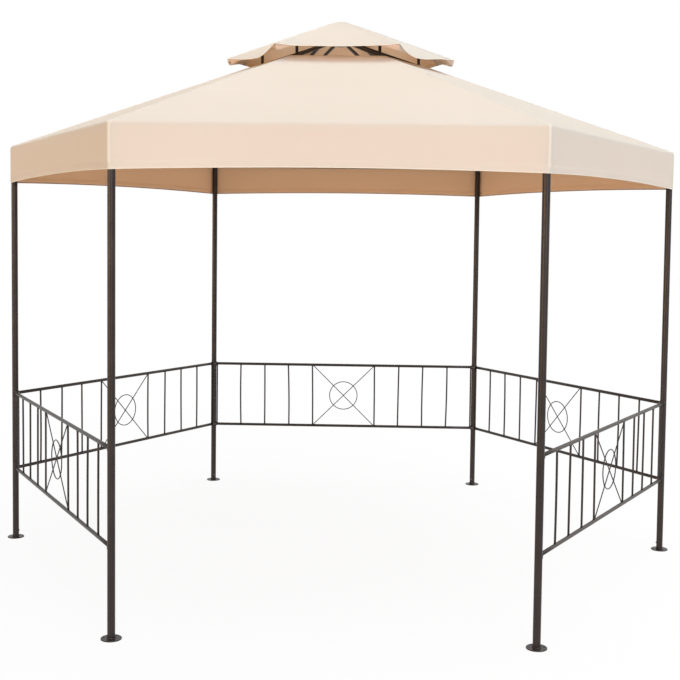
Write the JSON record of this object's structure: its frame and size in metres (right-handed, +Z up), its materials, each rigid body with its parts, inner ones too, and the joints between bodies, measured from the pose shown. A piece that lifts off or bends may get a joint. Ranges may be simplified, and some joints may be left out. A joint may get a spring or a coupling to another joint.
{
  "type": "garden gazebo",
  "caption": "Hexagonal garden gazebo: slim metal posts, low ornamental railings on all sides but the open front, and a two-tier vented fabric roof with a straight valance.",
  "frame": {"origin": "on the ground under the middle of the roof", "axes": "+Z up, +X to the right seen from the open front, the open front faces -Y"},
  "size_m": [3.27, 2.8424, 2.5507],
  "materials": {
    "frame": "satin powder coat",
    "canopy": "woven polyester"
  },
  "bodies": {
    "root": {"canopy_back": "canopy", "canopy_front": "canopy", "canopy_left_back": "canopy", "canopy_left_front": "canopy", "canopy_right_back": "canopy", "canopy_right_front": "canopy", "cap_canopy": "canopy", "cap_hub": "frame", "cap_rafter_back_left": "frame", "cap_rafter_back_right": "frame", "cap_rafter_front_left": "frame", "cap_rafter_front_right": "frame", "cap_rafter_left": "frame", "cap_rafter_right": "frame", "crown_hub": "frame", "eave_beam_back": "frame", "eave_beam_front": "frame", "eave_beam_left_back": "frame", "eave_beam_left_front": "frame", "eave_beam_right_back": "frame", "eave_beam_right_front": "frame", "foot_back_left": "frame", "foot_back_right": "frame", "foot_front_left": "frame", "foot_front_right": "frame", "foot_left": "frame", "foot_right": "frame", "post_back_left": "frame", "post_back_right": "frame", "post_front_left": "frame", "post_front_right": "frame", "post_left": "frame", "post_right": "frame", "rafter_back_left": "frame", "rafter_back_right": "frame", "rafter_front_left": "frame", "rafter_front_right": "frame", "rafter_left": "frame", "rafter_right": "frame", "railing_back": "frame", "railing_left_back": "frame", "railing_left_front": "frame", "railing_right_back": "frame", "railing_right_front": "frame"}
  },
  "joints": []
}
